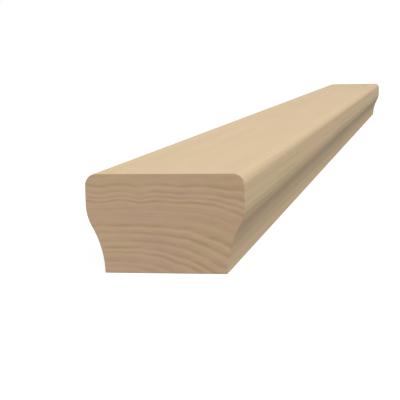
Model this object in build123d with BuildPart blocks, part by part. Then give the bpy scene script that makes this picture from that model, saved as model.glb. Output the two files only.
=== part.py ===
from build123d import *
import os
from math import atan, degrees

# Straight length of wooden stair handrail, planed from one board. Sizes are in millimetres.
# The rail runs along Y, its flat base lies on Z = 0 and the origin is under its middle.

# Driving sizes of the rail
rail_length = 1219.2       # cut length, 4 ft
rail_width = 66.675        # across the upright sides, 2 5/8 in
rail_height = 41.275       # base to flat top, 1 5/8 in

# Driving sizes of the moulded edge, the same on both sides
top_round = 4.7625         # radius between the flat top and the upright side, 3/16 in
side_depth = 12.4          # from the flat top down to where the ogee leaves the upright side
ogee_inset = 7.6           # how far the base stands in from the upright side
shoulder_radius = 20.0     # convex arc at the top of the ogee

# The ogee is a convex arc that runs tangent into a concave one. Both turn by one angle, so
# that the moulding leaves the upright side plumb and meets the base plumb.
ogee_drop = rail_height - side_depth
ogee_angle = 2 * degrees(atan(ogee_inset / ogee_drop))
half_width = rail_width / 2
half_base = half_width - ogee_inset

with BuildPart() as handrail:
    with BuildSketch(Plane.XZ) as section:
        with BuildLine() as outline:
            flat_top = Line((0, rail_height), (half_width - top_round, rail_height))
            round_over = JernArc(flat_top @ 1, (1, 0), top_round, -90)
            upright = Line(round_over @ 1, (half_width, ogee_drop))
            shoulder = JernArc(upright @ 1, (0, -1), shoulder_radius, -ogee_angle)
            cove = TangentArc(shoulder @ 1, (half_base, 0), tangent=shoulder % 1)
            Line(cove @ 1, (0, 0))
            mirror(about=Plane.YZ)
        make_face()
    extrude(amount=rail_length / 2, both=True)

handrail.part.label = "handrail"

os.makedirs("parts", exist_ok=True)
export_step(handrail.part, "parts/handrail.step")
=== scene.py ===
from math import atan, cos, pi, radians, sin

import bpy
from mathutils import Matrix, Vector


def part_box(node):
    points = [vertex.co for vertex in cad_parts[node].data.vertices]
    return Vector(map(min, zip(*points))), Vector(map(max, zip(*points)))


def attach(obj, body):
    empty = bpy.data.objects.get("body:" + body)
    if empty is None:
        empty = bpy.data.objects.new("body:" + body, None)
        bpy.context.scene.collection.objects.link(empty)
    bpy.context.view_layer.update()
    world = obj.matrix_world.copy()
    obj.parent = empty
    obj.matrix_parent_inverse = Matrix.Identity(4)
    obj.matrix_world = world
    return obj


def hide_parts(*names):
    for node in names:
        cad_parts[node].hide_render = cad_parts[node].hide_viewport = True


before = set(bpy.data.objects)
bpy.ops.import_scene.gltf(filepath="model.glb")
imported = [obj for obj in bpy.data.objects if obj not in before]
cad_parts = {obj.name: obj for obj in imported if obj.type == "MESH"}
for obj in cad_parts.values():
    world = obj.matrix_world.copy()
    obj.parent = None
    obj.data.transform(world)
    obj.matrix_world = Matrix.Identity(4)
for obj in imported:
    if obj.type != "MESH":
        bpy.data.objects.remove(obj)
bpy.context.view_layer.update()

# The rail: one straight length of pale ash, planed and moulded from a single board. The flat top is
# rounded over at both edges. Below each upright side an ogee, a convex arc into a concave one, narrows
# the rail to its base. Both ends are sawn square, and the wood is sanded but has no finish on it yet.
lowest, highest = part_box("handrail")
half_width = highest.x
rail_height = highest.z
rail_length = highest.y - lowest.y
top_round = 0.0047625
side_depth = 0.0124
ogee_inset = 0.0076
shoulder_radius = 0.020
ogee_drop = rail_height - side_depth
ogee_angle = 2 * atan(ogee_inset / ogee_drop)
cove_radius = ogee_drop / sin(ogee_angle) - shoulder_radius
cutter_axis = (0, -1, 0)


def draw_straight(x, z):
    """Runs the outline on from its last point by a straight step."""
    bpy.ops.mesh.extrude_vertices_move(TRANSFORM_OT_translate={"value": (x, 0, z)})


def draw_arc(centre_x, centre_z, angle, steps):
    """Turns the outline round a centre, clockwise as the near end is seen, or back by a minus angle."""
    centre = (centre_x, lowest.y, centre_z)
    bpy.ops.mesh.spin(steps=steps, angle=angle, center=centre, axis=cutter_axis)


# Half of the outline, drawn from one point at the middle of the top to the middle of the base.
bpy.ops.object.select_all(action="DESELECT")
bpy.ops.mesh.primitive_plane_add(size=half_width, location=(0, lowest.y, rail_height))
rail = bpy.context.object
rail.name = rail.data.name = "moulded_rail"
bpy.ops.object.mode_set(mode="EDIT")
bpy.ops.mesh.select_all(action="SELECT")
bpy.ops.mesh.merge(type="CENTER")
draw_straight(half_width - top_round, 0)
draw_arc(half_width - top_round, rail_height - top_round, pi / 2, steps=12)
draw_straight(0, top_round - side_depth)
draw_arc(half_width - shoulder_radius, ogee_drop, ogee_angle, steps=10)
between_centres = shoulder_radius + cove_radius
cove_x = half_width - shoulder_radius + between_centres * cos(ogee_angle)
cove_z = ogee_drop - between_centres * sin(ogee_angle)
draw_arc(cove_x, cove_z, -ogee_angle, steps=12)
draw_straight(ogee_inset - half_width, 0)

# The other half is its mirror image, and the closed outline is run along the rail.
bpy.ops.mesh.select_all(action="SELECT")
bpy.ops.mesh.duplicate()
bpy.ops.transform.resize(value=(-1, 1, 1), center_override=(0, 0, 0))
bpy.ops.mesh.select_all(action="SELECT")
bpy.ops.mesh.remove_doubles(threshold=1e-6)
bpy.ops.mesh.edge_face_add()
bpy.ops.mesh.extrude_region_move(TRANSFORM_OT_translate={"value": (0, rail_length, 0)})
bpy.ops.mesh.select_all(action="SELECT")
bpy.ops.mesh.normals_make_consistent(inside=False)
bpy.ops.object.mode_set(mode="OBJECT")
bpy.ops.object.transform_apply(location=True, rotation=False, scale=False)

# The bake map. The skin of the long sides is unrolled from the middle of the base into one strip, laid
# along the map. The two ends lie side by side beyond it, a quarter of the map either way from its middle.
map_margin = 0.005
strip_share = 0.68
ends_middle = 0.847
ends_scale = 7.2
end_facing = 0.9


def spot(point):
    """Where a point lies in the section, rounded so that every face tells the same."""
    return round(point.x, 5), round(point.z, 5)


near_end = next(face for face in rail.data.polygons if face.normal.y < -end_facing)
outline = [rail.data.vertices[corner].co.copy() for corner in near_end.vertices]
first = outline.index(min(outline, key=lambda point: point.z + abs(point.x)))
outline = outline[first:] + outline[:first]
unrolled = {}
girth = 0
for point, following in zip(outline, outline[1:] + outline[:1]):
    unrolled[spot(point)] = girth
    girth += (following - point).length

bake_map = rail.data.uv_layers.new(name="OFBake")
for face in rail.data.polygons:
    for loop in face.loop_indices:
        point = rail.data.vertices[rail.data.loops[loop].vertex_index].co
        if abs(face.normal.y) > end_facing:
            u = 1 / 2 + face.normal.y / 4 - point.x * face.normal.y * ends_scale
            v = ends_middle + (point.z - rail_height / 2) * ends_scale
        else:
            turn = unrolled[spot(point)] / girth
            # The last face of the strip ends at the middle of the base, a whole turn on from the start.
            if turn == 0 and face.center.x * outline[1].x < 0:
                turn = 1
            u = map_margin + (1 - 2 * map_margin) * (point.y - lowest.y) / rail_length
            v = map_margin + strip_share * turn
        bake_map.uv[loop].vector = (u, v)

# The saw and the plane leave the arrises just blunt to the touch.
arris = rail.modifiers.new("arris", "BEVEL")
arris.width = 0.0003
arris.segments = 3
arris.limit_method = "ANGLE"
arris.angle_limit = radians(50)
bpy.ops.object.modifier_apply(modifier=arris.name)
bpy.ops.object.shade_smooth_by_angle(angle=radians(35))
flats = rail.modifiers.new("flats", "WEIGHTED_NORMAL")
flats.keep_sharp = True
bpy.ops.object.modifier_apply(modifier=flats.name)


class Wire:
    """A socket in a shader. Sums on wires add Math nodes, and node() adds a node of any other kind."""

    def __init__(self, tree, socket=None):
        self.tree = tree
        self.socket = socket

    def node(self, kind, settings, sockets, output=0):
        """Adds a node with its settings, then the values or wires of its sockets, and gives one output.

        A ramp comes with a first stop at 0 and a last one, white, at 1. The rest of its stops are added.
        """
        made = self.tree.nodes.new(kind)
        for name, value in settings.items():
            if name == "stops":
                for at, tone in value:
                    stop = made.color_ramp.elements.new(at) if at else made.color_ramp.elements[0]
                    stop.color = (tone, tone, tone, 1)
            elif name == "interpolation":
                made.color_ramp.interpolation = value
            else:
                setattr(made, name, value)
        for name, value in sockets.items():
            if isinstance(value, Wire):
                self.tree.links.new(value.socket, made.inputs[name])
            else:
                made.inputs[name].default_value = value
        return Wire(self.tree, made.outputs[output])

    def feed(self, shader, name):
        """Links the wire to a socket of a shader."""
        self.tree.links.new(self.socket, shader.inputs[name])

    def math(self, operation, *values):
        """Adds a Math node for these values, which are wires or numbers."""
        return self.node("ShaderNodeMath", {"operation": operation}, dict(enumerate(values)))

    def __add__(self, other):
        return self.math("ADD", self, other)

    __radd__ = __add__

    def __sub__(self, other):
        return self.math("SUBTRACT", self, other)

    def __rsub__(self, other):
        return self.math("SUBTRACT", other, self)

    def __mul__(self, other):
        return self.math("MULTIPLY", self, other)

    __rmul__ = __mul__

    def rise(self, low, high):
        """0 below low, 1 above high, and smooth in between."""
        sockets = {"Value": self, "From Min": low, "From Max": high}
        return self.node("ShaderNodeMapRange", {"interpolation_type": "SMOOTHSTEP"}, sockets)


def blend(fac, first, second):
    """One colour turning into another, as fac goes from 0 to 1."""
    # The sockets for colours on a Mix node are 6 and 7, and the output is 2.
    return fac.node("ShaderNodeMix", {"data_type": "RGBA"}, {0: fac, 6: first, 7: second}, 2)


# One wood runs through the whole board. Its colour is worked out for each place inside the board, so the
# rings on the two ends and the streaks along the sides belong together.
wood = bpy.data.materials.new("planed_ash")
wood.use_nodes = True
skin = wood.node_tree.nodes["Principled BSDF"]
place = Wire(wood.node_tree).node("ShaderNodeTexCoord", {}, {}, "Object")
mm_per_metre = 1000


def cloud(wide, long, high, detail=2.0, roughness=0.5, shift=0.0):
    """Noise from 0 to 1 whose lumps have these sizes in millimetres. Each shift gives other lumps."""
    scale = (mm_per_metre / wide, mm_per_metre / long, mm_per_metre / high)
    at = place.node("ShaderNodeMapping", {}, {"Vector": place, "Location": (shift,) * 3, "Scale": scale})
    sockets = {"Vector": at, "Scale": 1.0, "Detail": detail, "Roughness": roughness}
    return place.node("ShaderNodeTexNoise", {}, sockets)


def millimetres(axis):
    """How far a place in the rail lies along one axis from the middle of the base."""
    return place.node("ShaderNodeSeparateXYZ", {}, {0: place}, axis) * mm_per_metre


across = millimetres("X")
along = millimetres("Y")
up = millimetres("Z")
from_near_end = along - lowest.y * mm_per_metre

# The growth rings lie flat at the left edge of the near end and dive towards the right edge. They bend
# down left of the middle at the base, and further right the higher they lie.
bend_left = 9.6
bend_lean = 1.08
bend_softness = 96.0
bend_slope = 0.17
past_bend = across - (up * bend_lean - bend_left)
bend = (past_bend + past_bend.math("SQRT", past_bend * past_bend + bend_softness)) * bend_slope

# They wave gently in the upper half, ripple everywhere, and run out slowly along the board.
wave_length = 17.4
wave_lead = 0.6
wave_wander = 5
wave_height = 0.36
waves_from = 21
waves_full = 35
ripple_height = 1.6
drift_height = 2.5
run_out = 0.004
swell = (across + (cloud(30, 300, 30, detail=1.0) - 0.5) * wave_wander) * (2 * pi / wave_length)
wave = swell.math("COSINE", swell + wave_lead) * up.rise(waves_from, waves_full) * wave_height
ripple = (cloud(9, 160, 20, detail=1.5) - 0.5) * ripple_height - wave
drift = (cloud(900, 420, 900, detail=1.0, shift=3.0) - 0.5) * drift_height + from_near_end * run_out
depth = up + bend + ripple + drift

# Each ring starts with a line of open pores. Here are the height of each line above the base, as it lies
# at the left edge of the near end, and how strong it is. Halfway to the next line the wood is plain, and
# the pattern starts again above the last one.
ring_lines = (
    (3.2, 0.7), (5.2, 0.7), (8.8, 0.75), (10.7, 0.9), (13.6, 0.8), (16.9, 0.9), (19.6, 1.0),
    (24.0, 0.5), (26.4, 0.5), (29.9, 0.9), (31.5, 0.75), (33.5, 0.85), (36.3, 0.9), (40.0, 0.5),
)
ring_cycle = 43.0
lowest_plain = 1.8
plains = [lowest_plain] + [(low + high) / 2 for (low, _), (high, _) in zip(ring_lines, ring_lines[1:])]
stops = [(0.0, 1.0)]
for plain, (height, strength) in zip(plains, ring_lines):
    stops.append((plain / ring_cycle, 1.0))
    stops.append((height / ring_cycle, 1 - strength))


def ring_line(at):
    """Up to 1 on each ring's line of pores, falling to 0 on either side."""
    turn = at.math("FRACT", at * (1 / ring_cycle))
    ramp = turn.node("ShaderNodeValToRGB", {"stops": stops, "interpolation": "EASE"}, {"Fac": turn})
    line = 1 - ramp
    return line * line


# The lines come and go along their length. The dense wood that ends each ring is paler, and lies just
# under the next line of pores.
late_below = 0.8
faintest = 0.35
fading = cloud(16, 200, 5, detail=1.0, shift=31.0).rise(0.32, 0.6) * (1 - faintest) + faintest
early = ring_line(depth) * fading
late = ring_line(depth + late_below)

# Layers of slightly other tones follow the rings. They are thin, and long along the board, and there are
# this many of them to a millimetre in each direction.
layers_across = 0.035
layers_along = 0.0022
layers_deep = 1.5
spacing = {"X": across * layers_across, "Y": along * layers_along, "Z": depth * layers_deep}
in_rings = depth.node("ShaderNodeCombineXYZ", {}, spacing)
layer_sockets = {"Vector": in_rings, "Scale": 1.0, "Detail": 3.0, "Roughness": 0.6}
layers = in_rings.node("ShaderNodeTexNoise", {}, layer_sockets)

# Long fibres, short open pores, rosy patches and a finer mottle.
fibres = cloud(0.5, 45, 0.5, detail=2.0, roughness=0.6, shift=5.0)
pores = cloud(0.28, 7, 0.28, detail=0.0, shift=9.0).rise(0.62, 0.72)
patches = cloud(28, 240, 20, shift=13.0)
mottle = cloud(6, 60, 1.8, shift=17.0)

# Along the grain the wood is pale straw, with faint streaks where the rings come out to the surface. In
# both tones, the factors say how far each part darkens the wood.
straw = (0.702, 0.545, 0.349, 1)
streak = (0.624, 0.473, 0.287, 1)
rosy = (0.702, 0.522, 0.345, 1)
long_tone = early * 0.4 + layers * 0.65 + fibres * 0.2 + pores * (early * 0.9 + 0.15) - late * 0.1
long_colour = blend(long_tone.rise(0.15, 0.85), straw, streak)
long_colour = blend(patches.rise(0.35, 0.7) * 0.5, long_colour, rosy)

# End grain drinks in more light than the sides, so the sawn ends are browner and the rings plainer. The
# brown leans to pink in some places and to yellow in others.
pinkish_pale = (0.685, 0.489, 0.342, 1)
pinkish_dark = (0.514, 0.345, 0.226, 1)
yellowish_pale = (0.690, 0.502, 0.327, 1)
yellowish_dark = (0.518, 0.356, 0.209, 1)
end_tone = early * 0.5 + layers * 0.45 + mottle * 0.35 + pores * 0.1 - late * 0.25 + across * 0.002
cut_tone = end_tone.rise(-0.02, 1.04)
pinkish = blend(cut_tone, pinkish_pale, pinkish_dark)
yellowish = blend(cut_tone, yellowish_pale, yellowish_dark)
end_colour = blend(cloud(16, 220, 7, shift=21.0).rise(0.35, 0.65), pinkish, yellowish)

# The end grain starts within the blunt arris, a third of a millimetre short of the sawn face.
half_length = rail_length / 2 * mm_per_metre
starts_within = 0.35
full_within = 0.05
from_middle = along.math("ABSOLUTE", along)
end_grain = from_middle.rise(half_length - starts_within, half_length - full_within)
blend(end_grain, long_colour, end_colour).feed(skin, "Base Color")

# Sanded wood has hardly any shine, and least on the end grain. The open pores are sunk, and the fibres
# stand up a little.
planed_roughness = 0.68
(planed_roughness + early * 0.08 + end_grain * 0.1).feed(skin, "Roughness")
relief = fibres * 0.5 - pores * 0.8 - early * 0.2
bump = relief.node("ShaderNodeBump", {}, {"Height": relief, "Strength": 0.35, "Distance": 0.00008})
bump.feed(skin, "Normal")
skin.inputs["Specular IOR Level"].default_value = 0.12
rail.data.materials.append(wood)

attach(rail, "root")
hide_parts("handrail")

# The floor: a wide sheet of plain pale paper. It glows for the camera and in reflections, so that it is
# seen white but for the rail's soft shadow, and it throws a little warm light back up on to the rail.
bpy.ops.object.select_all(action="DESELECT")
bpy.ops.mesh.primitive_plane_add(size=60, location=(0, 0, 0))
floor = bpy.context.object
floor.name = floor.data.name = "studio_floor"


def seen_rays(tree):
    """1 for the rays that make the background of the picture, and 0 for those that only carry light."""
    path = Wire(tree).node("ShaderNodeLightPath", {}, {}, "Is Camera Ray")
    rays = path.socket.node.outputs
    glossy = Wire(tree, rays["Is Glossy Ray"])
    through = Wire(tree, rays["Is Transmission Ray"])
    return path.math("MAXIMUM", path, path.math("MAXIMUM", glossy, through))


paper_lighting = (0.08, 0.068, 0.052, 1)
paper_seen = (0.3, 0.3, 0.3, 1)
no_glow = (0, 0, 0, 1)
white_glow = (0.847, 0.851, 0.857, 1)
paper = bpy.data.materials.new("floor_paper")
paper.use_nodes = True
paper_shader = paper.node_tree.nodes["Principled BSDF"]
paper_shader.inputs["Roughness"].default_value = 1
paper_shader.inputs["Specular IOR Level"].default_value = 0
paper_shader.inputs["Emission Strength"].default_value = 1
floor_seen = seen_rays(paper.node_tree)
blend(floor_seen, paper_lighting, paper_seen).feed(paper_shader, "Base Color")
blend(floor_seen, no_glow, white_glow).feed(paper_shader, "Emission Color")
floor.data.materials.append(paper)

# The backdrop: an even white all round, which lights the rail more softly than the camera sees it, and a
# little warmer.
backdrop_lighting = (0.48, 0.47, 0.453, 1)
backdrop_seen = (1, 1, 1, 1)
world = bpy.data.worlds.new("studio")
world.use_nodes = True
bpy.context.scene.world = world
backdrop = world.node_tree.nodes["Background"]
blend(seen_rays(world.node_tree), backdrop_lighting, backdrop_seen).feed(backdrop, "Color")


# Three softboxes: one in front of the near end, one high over the right side, and a weaker one low behind
# the far left corner.
def softbox(name, stand, size, watts):
    """A square lamp of this size, turned to the middle of the rail."""
    lamp = bpy.data.lights.new(name, "AREA")
    lamp.energy = watts
    lamp.size = size
    box = bpy.data.objects.new(name, lamp)
    box.location = stand
    box.rotation_euler = (-Vector(stand)).to_track_quat("-Z", "Y").to_euler()
    bpy.context.scene.collection.objects.link(box)


softbox("front_box", (1.8, -5.0, 2.4), size=3.4, watts=143)
softbox("side_box", (3.6, -0.7, 4.7), size=3.4, watts=144)
softbox("back_box", (-4.4, 4.2, 1.3), size=2.4, watts=80)

# The camera: half a metre in front of the near end, a little to the right of it and about 50 mm above
# its top, looking along the rail. Its focal length is counted in pixels of the picture.
focal_pixels = 1256.8
picture_pixels = 400
lens = bpy.data.cameras.new("camera")
lens.sensor_width = 36
lens.lens = focal_pixels / picture_pixels * lens.sensor_width
camera = bpy.data.objects.new("camera", lens)
camera.location = (0.10901, lowest.y - 0.49806, 0.09082)
camera.rotation_euler = (radians(83.207), radians(1.212), radians(10.558))
bpy.context.scene.collection.objects.link(camera)
bpy.context.scene.camera = camera
bpy.context.scene.view_settings.view_transform = "Standard"
